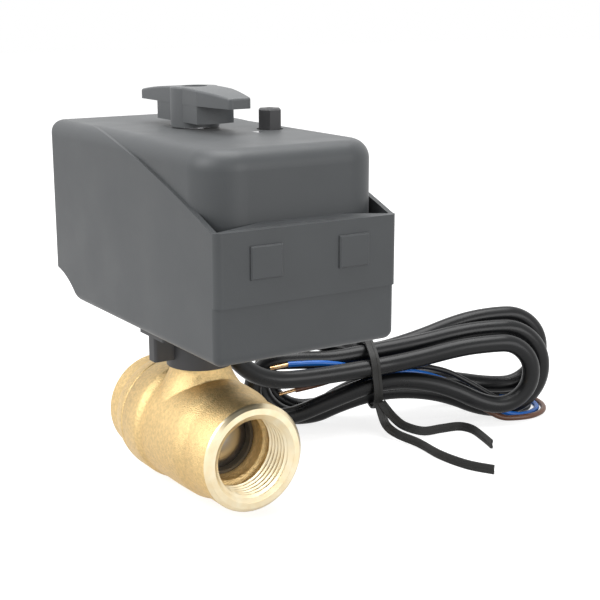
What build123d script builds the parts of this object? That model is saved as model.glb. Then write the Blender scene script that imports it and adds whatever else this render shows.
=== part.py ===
from build123d import *
import math
import os

# Motorised two-way ball valve: a two-piece brass ball valve, a neck adapter and a
# geared actuator housing with knob, release button and a hanked supply lead.
# Frame: origin at the centre of the near port face, +Y along the pipe away from that
# face, +Z up along the valve stem, +X to the right. All lengths in millimetres.

# Pipe connections, female parallel pipe thread of the 3/4 inch size
thread_core_radius = 12.06
thread_depth = 14.0
throat_radius = 11.2
flow_radius = 10.0

# Valve body, revolved about the pipe axis
valve_length = 69.0
stem_from_near = 34.5
seam_from_near = 53.0
ring_radius = 17.25
ring_width = 12.5
ring_chamfer = 1.3
flare_length = 5.5
waist_radius = 18.7
belly_radius = 18.95
shell_radius = 19.95
ridge_from_near = 42.5
ridge_half_width = 2.0
seam_chamfer = 0.4
end_shoulder = 9.0

# Ball, seats and stem
ball_radius = 15.0
ball_room = 1.3
seat_gap = 0.1
seat_outer_radius = 14.3
seat_inner_radius = 10.2
seat_reach_inner = 8.4
seat_reach_outer = 14.2
slot_width = 5.0
slot_depth = 3.0
slot_gap = 0.1
tang_length = 12.0
stem_radius = 3.6
stem_flange_radius = 7.2
stem_flange_thick = 1.7
stem_square = 5.0
stem_square_length = 11.6
washer_thick = 0.6
fit = 0.05
seal_ring_section = 1.2
seal_ring_first = 2.0
seal_ring_pitch = 2.7
boss_radius = 9.6
boss_foot_radius = 14.5
boss_flare = 4.0
boss_height = 25.4
spigot_radius = 5.5
spigot_height = 6.0

# Neck adapter between valve and housing
neck_radius = 10.8
neck_skirt = 2.9
neck_floor = 3.0
neck_well_radius = 9.1
ear_length = 34.4
ear_thick = 5.0
ear_drop = 15.2
flange_depth = 17.0
flange_thick = 7.4
nut_across = 15.0
nut_height = 3.0
neck_screw_x = 14.0

# Actuator housing
housing_width = 58.8
front_overhang = 65.5
rear_overhang = 46.0
housing_bottom = 40.6
parting_height = 64.0
belt_top = 77.4
cover_top = 98.0
wall = 2.4
floor_thick = 2.2
corner_radius = 2.2
keel_radius = 3.0
step_height = 57.0
step_in = 0.8
scoop_radius = 27.4
scoop_past_rear = 2.5
scoop_drop = 18.2
shoulder_radius = 5.3
belt_ledge = 2.5
cheek_rise = 14.6
cheek_run = 43.5
cheek_flat = 23.5
dome_inset = 0.8
dome_front_set = 5.0
dome_corner = 12.0
dome_edge = 5.6
top_wall = 2.2
belt_room = 7.0
latch_width = 10.0
latch_height = 9.2
latch_centre = 14.2
latch_proud = 0.8
pocket_wall = 1.6
pocket_depth_y = 12.6
pocket_length_x = 13.9
pocket_floor = 73.0
seal_width = 1.0
seal_depth = 0.8

# Housing screws and their posts
screw_radius = 1.5
screw_head_radius = 2.75
screw_head_height = 2.4
screw_bite = 8.0
post_radius = 3.6
post_x = 23.7
front_post_set = 5.6
rear_post_from_stem = 9.5

# Chassis plates
plate_thick = 1.2
plate_gap = 18.8
plate_lift = 3.2
plate_half_width = 19.0
plate_front_from_stem = 58.5
plate_rear_from_stem = 18.5
pillar_radius = 2.2
pillar_x = 16.5
pillar_end_set = 3.0
foot_x = 9.5
chassis_screw_radius = 1.0
chassis_head_radius = 2.0
chassis_head_height = 1.4

# Gear train
shaft_radius = 5.0
shaft_collar = 1.5
shaft_running_gap = 0.1
main_module = 1.0
mid_module = 0.8
fast_module = 0.6
output_teeth = 36
release_pinion_teeth = 12
release_wheel_teeth = 20
transfer_pinion_teeth = 10
transfer_wheel_teeth = 20
motor_teeth = 8
release_angle = -47.5
transfer_angle = 205.0
motor_angle = 235.0
output_gear_lift = 2.3
output_gear_thick = 5.0
release_pinion_height = 7.0
release_lift = 3.8
release_wheel_thick = 2.0
transfer_overlap = 0.6
transfer_pinion_height = 3.4
transfer_wheel_thick = 2.0
motor_pinion_height = 3.0
axle_radius = 1.0
journal_radius = 2.0
press_stroke = 3.1

# Motor, cams, switches and electronics
motor_radius = 20.0
motor_height = 16.0
motor_offset_x = -5.0
motor_offset_y = -7.0
motor_ear_angle = -60.0
motor_ear_radius = 22.0
motor_ear_thick = 1.0
cam_radius = 9.5
cam_low_radius = 8.3
cam_thick = 3.5
cam_pitch = 5.9
cam_lobe_angle = 30.0
switch_length = 12.8
switch_depth = 6.0
switch_height = 5.7
switch_gap = 0.2
switch_from_stem = 12.2
lever_thick = 0.5
lever_length = 11.0
lever_width = 3.0
lever_swing = 6.0
board_thick = 1.6
board_width = 44.0
board_depth = 18.0
board_height = 60.0
board_post_radius = 2.0
board_post_inset = 3.0
board_post_front = 5.0
terminal_poles = 3
terminal_pitch = 5.0
terminal_depth = 8.0
terminal_height = 9.0
capacitor_radius = 5.0
capacitor_length = 11.0

# Knob and release button
knob_turn = -90.0
knob_hub_radius = 7.5
knob_gap = 0.4
knob_back = 23.8
knob_front = 28.3
knob_bar_half = 6.4
knob_tip_half = 3.7
knob_taper_from = 13.0
knob_foot_radius = 14.5
knob_foot_half = 6.3
knob_rib_bottom = 1.7
knob_plate_bottom = 7.1
knob_end_height = 10.2
knob_crown_height = 12.2
knob_corner = 1.6
knob_edge = 0.7
knob_sink = 0.5
knob_square = 6.6
knob_square_length = 7.0
cap_radius = 3.9
cap_thick = 1.0
window_width = 2.4
window_length = 4.0
window_x = 8.8
window_from_stem = 23.5
button_radius = 3.85
button_height = 6.3
button_hidden = 12.0
button_stem_radius = 2.4
button_collar_radius = 3.6
button_collar_thick = 1.0
guide_radius = 4.05
guide_wall = 1.2
guide_length = 14.0
spring_wire = 0.6
spring_turns = 6
spring_radius = 3.2

# Supply lead: gland, free stretch, hank, cores and tie
cable_radius = 3.25
core_radius = 1.05
core_circle = 1.4
core_reach = 4.0
copper_radius = 0.5
copper_length = 8.0
gland_x = 20.5
gland_from_stem = 21.0
gland_length = 6.6
gland_radius = 5.6
hank_turns = 3
hank_heading = -23.0
hank_origin = (122.5, 26.7)
hank_middle = 2.2
lobe_half_height = 14.2
waist_half_height = 5.8
right_end = 16.8
right_crest = -4.0
waist_place = -48.0
left_crest = -73.0
left_end = -91.5
waist_first = 1.0
waist_step = 7.2
waist_lag = 3.0
right_first = 0.5
right_step = 10.5
left_first = 5.0
left_step = 8.6
sheath_end = (8.0, 28.6, -16.4)
tail_dip = 0.12
tie_width = 3.6
tie_thick = 0.9
tie_gap = 0.4

stem_y = stem_from_near
front_y = stem_y - front_overhang
rear_y = stem_y + rear_overhang
half_width = housing_width / 2
stem_line = Axis((0, stem_y, 0), (0, 0, 1))
os.makedirs("parts", exist_ok=True)


def keep(piece, name):
    """Label a finished piece and write it as its own file."""
    piece.part.label = name
    export_step(piece.part, f"parts/{name}.step")


def level(height, x=0.0, y=stem_y):
    """Horizontal plane at a height, centred on a vertical axis."""
    return Plane(origin=(x, y, height))


def away(start, distance, degrees):
    """Point at a distance and direction from another one, in plan."""
    angle = math.radians(degrees)
    return (start[0] + distance * math.cos(angle), start[1] + distance * math.sin(angle))


def disc(height, thick, radius, x=0.0, y=stem_y, mode=Mode.ADD):
    """Upright cylinder standing on a height, inside an open part."""
    with Locations((x, y, height)):
        Cylinder(radius, thick, align=(Align.CENTER, Align.CENTER, Align.MIN), mode=mode)


# Heights along the stem axis
chamber_radius = ball_radius + ball_room
washer_top = chamber_radius + stem_flange_thick + washer_thick
spigot_top = boss_height + spigot_height
neck_bottom = boss_height - neck_skirt
well_floor = boss_height + neck_floor
square_top = spigot_top + stem_square_length
floor_top = housing_bottom + floor_thick
lower_plate = floor_top + plate_lift
lower_plate_top = lower_plate + plate_thick
upper_plate = lower_plate_top + plate_gap
upper_plate_top = upper_plate + plate_thick
output_gear_bottom = lower_plate_top + output_gear_lift
release_pinion_bottom = lower_plate_top + release_lift
release_wheel_bottom = release_pinion_bottom + release_pinion_height
release_wheel_top = release_wheel_bottom + release_wheel_thick
transfer_bottom = release_wheel_bottom - transfer_overlap
transfer_wheel_bottom = transfer_bottom + transfer_pinion_height
motor_pinion_bottom = transfer_wheel_bottom - transfer_overlap
knob_base = cover_top + knob_gap

# Gear centres in plan
release_distance = main_module * (output_teeth + release_pinion_teeth) / 2
transfer_distance = mid_module * (release_wheel_teeth + transfer_pinion_teeth) / 2
motor_distance = fast_module * (transfer_wheel_teeth + motor_teeth) / 2
release_centre = away((0, stem_y), release_distance, release_angle)
transfer_centre = away(release_centre, transfer_distance, transfer_angle)
motor_pinion_centre = away(transfer_centre, motor_distance, motor_angle)
motor_centre = (motor_pinion_centre[0] + motor_offset_x, motor_pinion_centre[1] + motor_offset_y)

# Screw and pillar places in plan
front_post_y = front_y + front_post_set
rear_post_y = stem_y + rear_post_from_stem
post_places = [(side * post_x, y) for side in (-1, 1) for y in (front_post_y, rear_post_y)]
plate_front = stem_y - plate_front_from_stem
plate_rear = stem_y + plate_rear_from_stem
pillar_ys = (plate_front + pillar_end_set, plate_rear - pillar_end_set)
pillar_places = [(side * pillar_x, y) for side in (-1, 1) for y in pillar_ys]
foot_places = [(side * foot_x, y) for side in (-1, 1) for y in pillar_ys]
neck_screw_places = [(side * neck_screw_x, stem_y) for side in (-1, 1)]
motor_ear_places = [away(motor_centre, side * motor_ear_radius, motor_ear_angle) for side in (-1, 1)]

# Valve body with its stem boss
socket_radius = chamber_radius + 0.9
socket_near = stem_y + seat_reach_inner + 0.6
seat_pocket_radius = seat_outer_radius + seat_gap
pocket_near = stem_y - seat_reach_outer - seat_gap
with BuildPart() as valve_body:
    waist_near = ring_width + flare_length
    with BuildSketch(Plane.YZ):
        with BuildLine():
            Polyline((waist_near, waist_radius), (ring_width, ring_radius),
                     (ring_chamfer, ring_radius), (0, ring_radius - ring_chamfer), (0, 0),
                     (seam_from_near, 0), (seam_from_near, shell_radius - seam_chamfer),
                     (seam_from_near - seam_chamfer, shell_radius),
                     (ridge_from_near + ridge_half_width, shell_radius))
            Spline([(ridge_from_near + ridge_half_width, shell_radius),
                    (ridge_from_near - ridge_half_width, belly_radius)],
                   tangents=[(-1, 0), (-1, 0)])
            ThreePointArc((ridge_from_near - ridge_half_width, belly_radius),
                          ((ridge_from_near + waist_near) / 2, belly_radius + 0.1),
                          (waist_near, waist_radius))
        make_face()
    revolve(axis=Axis.Y)
    flare_foot = belly_radius - 2 * boss_flare + 2
    with BuildSketch(Plane.YZ):
        with BuildLine():
            Polyline((stem_y, 0), (stem_y + boss_foot_radius, 0),
                     (stem_y + boss_foot_radius, flare_foot))
            ThreePointArc((stem_y + boss_foot_radius, flare_foot),
                          (stem_y + boss_radius + 1.3, belly_radius - 0.6),
                          (stem_y + boss_radius, belly_radius + 2.6))
            Polyline((stem_y + boss_radius, belly_radius + 2.6), (stem_y + boss_radius, boss_height),
                     (stem_y + spigot_radius, boss_height), (stem_y + spigot_radius, spigot_top),
                     (stem_y, spigot_top), (stem_y, 0))
        make_face()
    revolve(axis=stem_line)
    with BuildSketch(Plane.YZ):
        with BuildLine():
            Polyline((0, 0), (0, thread_core_radius),
                     (thread_depth, thread_core_radius), (thread_depth + 1, throat_radius),
                     (pocket_near, throat_radius), (pocket_near, seat_pocket_radius),
                     (stem_y - seat_reach_inner - 2, seat_pocket_radius),
                     (stem_y - seat_reach_inner, chamber_radius),
                     (socket_near, chamber_radius), (socket_near, socket_radius),
                     (seam_from_near, socket_radius), (seam_from_near, 0), (0, 0))
        make_face()
    revolve(axis=Axis.Y, mode=Mode.SUBTRACT)
    disc(0, washer_top, stem_flange_radius + seat_gap, mode=Mode.SUBTRACT)
    disc(0, spigot_top, stem_radius + fit, mode=Mode.SUBTRACT)
keep(valve_body, "valve_body")

# End piece pressed up against the second seat
far_pocket = stem_y + seat_reach_outer + seat_gap
end_bore = socket_radius - fit
with BuildPart() as end_piece:
    with BuildSketch(Plane.YZ):
        with BuildLine():
            nose = socket_near + seat_gap
            shoulder = seam_from_near + end_shoulder
            Polyline((shoulder, ring_radius), (valve_length - ring_chamfer, ring_radius),
                     (valve_length, ring_radius - ring_chamfer),
                     (valve_length, thread_core_radius),
                     (valve_length - thread_depth, thread_core_radius),
                     (valve_length - thread_depth - 1, throat_radius), (far_pocket, throat_radius),
                     (far_pocket, seat_pocket_radius), (nose, seat_pocket_radius), (nose, end_bore),
                     (seam_from_near, end_bore), (seam_from_near, shell_radius - seam_chamfer),
                     (seam_from_near + seam_chamfer, shell_radius))
            ThreePointArc((seam_from_near + seam_chamfer, shell_radius),
                          (seam_from_near + 0.6 * end_shoulder, shell_radius - 1.0),
                          (shoulder, ring_radius))
        make_face()
    revolve(axis=Axis.Y)
keep(end_piece, "end_piece")

# Ball, closed at rest: its bore lies across the pipe
with BuildPart() as ball:
    with Locations((0, stem_y, 0)):
        Sphere(ball_radius)
    with BuildSketch(Plane(origin=(0, stem_y, 0), x_dir=(0, 1, 0), z_dir=(1, 0, 0))):
        Circle(flow_radius)
    extrude(amount=ball_radius, both=True, mode=Mode.SUBTRACT)
    with BuildSketch(level(ball_radius - slot_depth)):
        Rectangle(slot_width, 2 * ball_radius)
    extrude(amount=slot_depth, mode=Mode.SUBTRACT)
keep(ball, "ball")

# Two seats, each a ring with a spherical face
with BuildPart() as ball_seats:
    seat_length = seat_reach_outer - seat_reach_inner
    for side in (-1, 1):
        near = stem_y + side * seat_reach_outer
        with BuildSketch(Plane(origin=(0, near, 0), x_dir=(1, 0, 0), z_dir=(0, -side, 0))):
            Circle(seat_outer_radius)
            Circle(seat_inner_radius, mode=Mode.SUBTRACT)
        extrude(amount=seat_length)
    with Locations((0, stem_y, 0)):
        Sphere(ball_radius + seat_gap, mode=Mode.SUBTRACT)
keep(ball_seats, "ball_seats")

# Stem: tang in the ball, flange under the boss, two ring grooves and a square top
seal_ring_heights = [washer_top + seal_ring_first + seal_ring_pitch * count for count in (0, 1)]
groove_radius = stem_radius - seal_ring_section - fit
with BuildPart() as valve_stem:
    disc(chamber_radius, stem_flange_thick, stem_flange_radius)
    disc(chamber_radius, spigot_top - chamber_radius, stem_radius)
    with BuildSketch(level(ball_radius - slot_depth + slot_gap)):
        Rectangle(slot_width - 2 * slot_gap, tang_length)
    extrude(amount=chamber_radius + fit - ball_radius + slot_depth)
    with BuildSketch(level(spigot_top)):
        Rectangle(stem_square, stem_square)
    extrude(amount=stem_square_length)
    for height in seal_ring_heights:
        with BuildSketch(level(height - seal_ring_section / 2 - fit)):
            Circle(stem_radius)
            Circle(groove_radius, mode=Mode.SUBTRACT)
        extrude(amount=seal_ring_section + 2 * fit, mode=Mode.SUBTRACT)
keep(valve_stem, "valve_stem")

with BuildPart() as thrust_washer:
    with BuildSketch(level(washer_top - washer_thick)):
        Circle(stem_flange_radius)
        Circle(stem_radius + fit, mode=Mode.SUBTRACT)
    extrude(amount=washer_thick)
keep(thrust_washer, "thrust_washer")

with BuildPart() as stem_o_rings:
    for height in seal_ring_heights:
        with BuildSketch(Plane(origin=(0, stem_y, height), x_dir=(1, 0, 0), z_dir=(0, -1, 0))):
            with Locations((groove_radius + fit + seal_ring_section / 2, 0)):
                Circle(seal_ring_section / 2)
        revolve(axis=stem_line)
keep(stem_o_rings, "stem_o_rings")

# Nut that clamps the neck adapter on the valve
with BuildPart() as mounting_nut:
    with BuildSketch(level(well_floor)):
        RegularPolygon(nut_across / 2, 6, major_radius=False)
        Circle(spigot_radius + fit, mode=Mode.SUBTRACT)
    extrude(amount=nut_height)
    chamfer(mounting_nut.faces().sort_by(Axis.Z)[-1].outer_wire().edges(), 0.5)
keep(mounting_nut, "mounting_nut")

# Neck adapter: skirted collar, cross web and flange under the housing
with BuildPart() as neck_adapter:
    disc(neck_bottom, housing_bottom - neck_bottom, neck_radius)
    with BuildSketch(level(housing_bottom)):
        Rectangle(ear_length, ear_thick)
    extrude(amount=-ear_drop)
    with BuildSketch(level(housing_bottom)):
        Rectangle(ear_length, flange_depth)
    extrude(amount=-flange_thick)
    upright = neck_adapter.edges().filter_by(Axis.Z).filter_by_position(Axis.X, ear_length / 2, ear_length / 2)
    fillet(upright + neck_adapter.edges().filter_by(Axis.Z).filter_by_position(
        Axis.X, -ear_length / 2, -ear_length / 2), 1.0)
    disc(neck_bottom, neck_skirt, boss_radius + seat_gap, mode=Mode.SUBTRACT)
    disc(neck_bottom, well_floor - neck_bottom, spigot_radius + seat_gap, mode=Mode.SUBTRACT)
    disc(well_floor, housing_bottom - well_floor, neck_well_radius, mode=Mode.SUBTRACT)
    for x, y in neck_screw_places:
        disc(housing_bottom - screw_bite - 1, screw_bite + 1, screw_radius + fit, x, y, Mode.SUBTRACT)
keep(neck_adapter, "neck_adapter")


def screws(name, places, head_bottom, head_height, head_radius, shank_radius, length, upward):
    """Group of like screws; the shank runs down from the head, or up from it."""
    with BuildPart() as group:
        for x, y in places:
            disc(head_bottom, head_height, head_radius, x, y)
            if upward:
                disc(head_bottom + head_height, length, shank_radius, x, y)
                recess = head_bottom
            else:
                disc(head_bottom - length, length, shank_radius, x, y)
                recess = head_bottom + head_height / 2
            with BuildSketch(level(recess, x, y)):
                Rectangle(head_radius * 1.1, head_radius * 0.3)
                Rectangle(head_radius * 0.3, head_radius * 1.1)
            extrude(amount=head_height / 2, mode=Mode.SUBTRACT)
    keep(group, name)


screws("neck_screws", neck_screw_places, floor_top, screw_head_height, screw_head_radius,
       screw_radius, floor_thick + screw_bite, False)

# Lower half of the housing: open tray with a scooped rear underside
scoop_y = rear_y + scoop_past_rear
scoop_z = housing_bottom - scoop_drop


scoop_line = Location((0, scoop_y, scoop_z), (0, 90, 0))
stepped_y = front_y + step_in
inner_front = stepped_y + wall
inner_rear = rear_y - wall
with BuildPart() as tray_room:
    with BuildSketch(level(floor_top, 0, (inner_front + inner_rear) / 2)):
        RectangleRounded(housing_width - 2 * wall, inner_rear - inner_front, corner_radius / 2)
    extrude(amount=parting_height - floor_top)
    with Locations(scoop_line):
        Cylinder(scoop_radius + wall, housing_width, mode=Mode.SUBTRACT)

with BuildPart() as housing_base:
    with BuildSketch(level(housing_bottom, 0, (stepped_y + rear_y) / 2)):
        RectangleRounded(housing_width, rear_y - stepped_y, corner_radius)
    extrude(amount=parting_height - housing_bottom)
    with BuildSketch(level(step_height, 0, (front_y + rear_y) / 2)):
        RectangleRounded(housing_width, rear_y - front_y, corner_radius)
    extrude(amount=parting_height - step_height)
    with Locations(scoop_line):
        Cylinder(scoop_radius, housing_width + 1, mode=Mode.SUBTRACT)
    keel = housing_base.faces().filter_by(Axis.Z).sort_by(Axis.Z)[0].edges()
    fillet(keel.sort_by(Axis.Y)[:-1], keel_radius - 0.2)
    add(tray_room.part, mode=Mode.SUBTRACT)
    with BuildSketch(level(floor_top)):
        with Locations(*[(x, y - stem_y) for x, y in foot_places]):
            Circle(pillar_radius + 0.6)
    extrude(amount=plate_lift)
    with BuildSketch(level(floor_top - 0.2)):
        with Locations(*[(x, y - stem_y) for x, y in post_places]):
            Circle(post_radius)
    extrude(amount=parting_height - floor_top + 0.2)
    board_rear = inner_rear - 1.5
    board_front = board_rear - board_depth
    board_posts = [(side * (board_width / 2 - board_post_inset), y) for side in (-1, 1)
                   for y in (board_front + board_post_front, board_rear - board_post_inset)]
    for x, y in board_posts:
        with BuildSketch(level(board_height, x, y)):
            Circle(board_post_radius)
        extrude(until=Until.NEXT, target=housing_base.part, dir=(0, 0, -1))
    for x, y in post_places:
        disc(housing_bottom, parting_height - housing_bottom, screw_radius + 0.2, x, y, Mode.SUBTRACT)
        disc(housing_bottom, screw_head_height + 0.6, screw_head_radius + 0.3, x, y, Mode.SUBTRACT)
    for x, y in foot_places:
        disc(lower_plate - 4, 4, chassis_screw_radius + fit, x, y, Mode.SUBTRACT)
    for x, y in neck_screw_places:
        disc(housing_bottom, floor_thick, screw_radius + 0.2, x, y, Mode.SUBTRACT)
    disc(housing_bottom, floor_thick, shaft_radius + shaft_running_gap, mode=Mode.SUBTRACT)
    gland_y = stem_y + gland_from_stem
    disc(housing_bottom, floor_thick, cable_radius + 1.5, gland_x, gland_y, Mode.SUBTRACT)
    rim_middle = (front_y + rear_y) / 2
    rim_length = rear_y - front_y
    with BuildSketch(level(parting_height - seal_depth, 0, rim_middle)):
        RectangleRounded(housing_width - wall + seal_width, rim_length - wall + seal_width, 2.0)
        RectangleRounded(housing_width - wall - seal_width, rim_length - wall - seal_width, 1.0,
                         mode=Mode.SUBTRACT)
    extrude(amount=seal_depth, mode=Mode.SUBTRACT)
keep(housing_base, "housing_base")

# Seal ring in the rim groove
rim_length = rear_y - front_y
rim_middle = (front_y + rear_y) / 2
with BuildPart() as housing_seal:
    with BuildSketch(level(parting_height - seal_depth, 0, rim_middle)):
        seal_outer = seal_width - 2 * fit
        RectangleRounded(housing_width - wall + seal_outer, rim_length - wall + seal_outer, 2.0)
        RectangleRounded(housing_width - wall - seal_outer, rim_length - wall - seal_outer, 1.0,
                         mode=Mode.SUBTRACT)
    extrude(amount=seal_depth)
keep(housing_seal, "housing_seal")

head_seat = housing_bottom + screw_head_height + 0.6
screws("housing_screws", post_places, head_seat - screw_head_height, screw_head_height,
       screw_head_radius, screw_radius, parting_height + belt_room - 0.5 - head_seat, True)

# Upper half of the housing: belt, sloping cheeks and a raised dome
dome_front = front_y + dome_front_set
dome_rear = rear_y - dome_inset
with BuildPart() as dome:
    with BuildSketch(level(parting_height, 0, (dome_front + dome_rear) / 2)):
        Rectangle(housing_width - 2 * dome_inset, dome_rear - dome_front)
        fillet(vertices().group_by(Axis.Y)[0], dome_corner)
        fillet(vertices().group_by(Axis.Y)[-1], corner_radius)
    extrude(amount=cover_top - parting_height)
    fillet(dome.faces().sort_by(Axis.Z)[-1].edges(), dome_edge)

with BuildPart() as cover_room:
    with BuildSketch(level(parting_height, 0, (dome_front + dome_rear) / 2)):
        Rectangle(housing_width - 2 * dome_inset - 2 * top_wall, dome_rear - dome_front - 2 * top_wall)
        fillet(vertices().group_by(Axis.Y)[0], dome_corner - top_wall)
        fillet(vertices().group_by(Axis.Y)[-1], corner_radius / 2)
    extrude(amount=cover_top - top_wall - parting_height)
    fillet(cover_room.faces().sort_by(Axis.Z)[-1].edges(), dome_edge - top_wall)
    with BuildSketch(level(parting_height, 0, rim_middle)):
        RectangleRounded(housing_width - 2 * wall, rim_length - 2 * wall, corner_radius / 2)
    extrude(amount=belt_room)

guide_bottom = cover_top - guide_length
with BuildPart() as housing_cover:
    slope_start = (front_y + belt_ledge, belt_top)
    slope_middle = (slope_start[0] + cheek_run, belt_top + cheek_rise)
    slope_end = (rear_y - cheek_flat, cover_top)
    with BuildSketch(Plane.YZ):
        with BuildLine():
            Polyline((front_y, parting_height), (front_y, belt_top), slope_start)
            ThreePointArc(slope_start, ((slope_start[0] + slope_middle[0]) / 2,
                                        (slope_start[1] + slope_middle[1]) / 2 + 0.6), slope_middle)
            ThreePointArc(slope_middle, ((slope_middle[0] + slope_end[0]) / 2,
                                         (slope_middle[1] + slope_end[1]) / 2 + 1.2), slope_end)
            Polyline(slope_end, (rear_y, cover_top), (rear_y, parting_height),
                     (front_y, parting_height))
        make_face()
    extrude(amount=half_width, both=True)
    with BuildSketch(Plane.XZ.offset(-rim_middle)):
        with Locations((0, parting_height)):
            RectangleRounded(housing_width, 2 * (cover_top - parting_height), shoulder_radius)
    extrude(amount=rim_length, both=True, mode=Mode.INTERSECT)
    with BuildSketch(level(parting_height, 0, rim_middle)):
        RectangleRounded(housing_width, rim_length, corner_radius)
    extrude(amount=cover_top - parting_height, mode=Mode.INTERSECT)
    for side in (-1, 1):
        with BuildSketch(level(pocket_floor, 0, 0)):
            with BuildLine():
                pocket_x = side * (half_width - pocket_wall)
                pocket_y = front_y + wall
                Polyline((pocket_x, pocket_y), (pocket_x, pocket_y + pocket_depth_y),
                         (pocket_x - side * pocket_length_x, pocket_y + wall), (pocket_x, pocket_y))
            make_face()
        extrude(amount=cover_top - pocket_floor, mode=Mode.SUBTRACT)
    add(dome.part)
    with BuildSketch(Plane(origin=(0, front_y, parting_height), x_dir=(1, 0, 0), z_dir=(0, -1, 0))):
        for side in (-1, 1):
            with Locations((side * latch_centre, latch_height / 2)):
                Rectangle(latch_width, latch_height)
    extrude(amount=latch_proud)
    chamfer(housing_cover.faces().sort_by(Axis.Y)[0:2].edges().filter_by(Axis.Y, reverse=True), 0.4)
    add(cover_room.part, mode=Mode.SUBTRACT)
    for x, y in post_places:
        disc(parting_height, belt_room + 0.2, post_radius, x, y)
        disc(parting_height, belt_room, screw_radius + fit, x, y, Mode.SUBTRACT)
    button_x, button_y = release_centre
    disc(guide_bottom, guide_length - top_wall, guide_radius + guide_wall, button_x, button_y)
    disc(guide_bottom, guide_length, guide_radius, button_x, button_y, Mode.SUBTRACT)
    disc(cover_top - 3 * top_wall, 2.5 * top_wall, knob_hub_radius)
    disc(cover_top - 3 * top_wall, 3 * top_wall, shaft_radius + shaft_running_gap, mode=Mode.SUBTRACT)
    window_y = stem_y - window_from_stem
    with BuildSketch(level(cover_top, window_x, window_y)):
        Rectangle(window_width, window_length)
    extrude(amount=-top_wall, mode=Mode.SUBTRACT)
keep(housing_cover, "housing_cover")

with BuildPart() as status_window:
    with BuildSketch(level(cover_top, window_x, window_y)):
        Rectangle(window_width - 2 * fit, window_length - 2 * fit)
    extrude(amount=-top_wall)
keep(status_window, "status_window")

# Chassis: two plates held apart by riveted pillars
plate_middle = (plate_front + plate_rear) / 2
plate_length = plate_rear - plate_front


def plate_outline(height):
    """Plane and size of a chassis plate at a height."""
    return level(height, 0, plate_middle)


pin_radius = journal_radius * 0.6
with BuildPart() as lower_chassis_plate:
    with BuildSketch(plate_outline(lower_plate)):
        RectangleRounded(2 * plate_half_width, plate_length, corner_radius)
    extrude(amount=plate_thick)
    disc(lower_plate, plate_thick, shaft_radius + shaft_running_gap, mode=Mode.SUBTRACT)
    disc(lower_plate, plate_thick, pin_radius + fit, *release_centre, Mode.SUBTRACT)
    disc(lower_plate, plate_thick, axle_radius + fit, *transfer_centre, Mode.SUBTRACT)
    for x, y in pillar_places:
        disc(lower_plate, plate_thick, pillar_radius / 2 + fit, x, y, Mode.SUBTRACT)
    for x, y in foot_places:
        disc(lower_plate, plate_thick, chassis_screw_radius + seat_gap, x, y, Mode.SUBTRACT)
keep(lower_chassis_plate, "lower_chassis_plate")

with BuildPart() as upper_chassis_plate:
    with BuildSketch(plate_outline(upper_plate)):
        RectangleRounded(2 * plate_half_width, plate_length, corner_radius)
    extrude(amount=plate_thick)
    disc(upper_plate, plate_thick, shaft_radius + shaft_running_gap, mode=Mode.SUBTRACT)
    disc(upper_plate, plate_thick, button_stem_radius + seat_gap, *release_centre, Mode.SUBTRACT)
    disc(upper_plate, plate_thick, axle_radius + fit, *transfer_centre, Mode.SUBTRACT)
    disc(upper_plate, plate_thick, 2 * axle_radius + seat_gap, *motor_pinion_centre, Mode.SUBTRACT)
    for x, y in pillar_places + motor_ear_places:
        disc(upper_plate, plate_thick, chassis_screw_radius + seat_gap, x, y, Mode.SUBTRACT)
keep(upper_chassis_plate, "upper_chassis_plate")

with BuildPart() as plate_pillars:
    for x, y in pillar_places:
        disc(lower_plate_top, plate_gap, pillar_radius, x, y)
        disc(lower_plate, plate_thick, pillar_radius / 2, x, y)
        disc(upper_plate - 6, 6, chassis_screw_radius + fit, x, y, Mode.SUBTRACT)
keep(plate_pillars, "plate_pillars")

chassis_screw = (chassis_head_height, chassis_head_radius, chassis_screw_radius)
screws("plate_screws", pillar_places, upper_plate_top, *chassis_screw, 5 + plate_thick, False)
screws("foot_screws", foot_places, lower_plate_top, *chassis_screw, 3 + plate_thick, False)
screws("motor_screws", motor_ear_places, upper_plate_top + motor_ear_thick, *chassis_screw,
       motor_ear_thick + plate_thick, False)


def add_teeth(centre, height, thick, module, teeth, first_degrees):
    """Spur teeth with straight flanks and running play, on an open part."""
    pitch_radius = module * teeth / 2
    tip = pitch_radius + 0.85 * module
    root = pitch_radius - 1.15 * module
    flank = math.tan(math.radians(20))
    half_pitch = 0.64 * module
    half_tip = half_pitch - 0.85 * module * flank
    half_root = half_pitch + 0.9 * module * flank
    outline = [(root - 0.3 * module, -half_root), (root, -half_root), (tip, -half_tip),
               (tip, half_tip), (root, half_root), (root - 0.3 * module, half_root)]
    face = Face(Wire.make_polygon([Vector(x, y, 0) for x, y in outline], close=True))
    tooth = extrude(face, amount=thick, dir=(0, 0, 1), mode=Mode.PRIVATE)
    with Locations((centre[0], centre[1], height)):
        Cylinder(root, thick, align=(Align.CENTER, Align.CENTER, Align.MIN))
        with PolarLocations(0, teeth, start_angle=first_degrees):
            add(tooth)


# Output gear and shaft on the stem line
with BuildPart() as output_gear:
    add_teeth((0, stem_y), output_gear_bottom, output_gear_thick, main_module, output_teeth,
              release_angle)
    disc(output_gear_bottom - 1, output_gear_thick + 2, shaft_radius + 2)
    disc(output_gear_bottom - 1, output_gear_thick + 2, shaft_radius + fit, mode=Mode.SUBTRACT)
keep(output_gear, "output_gear")

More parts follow.
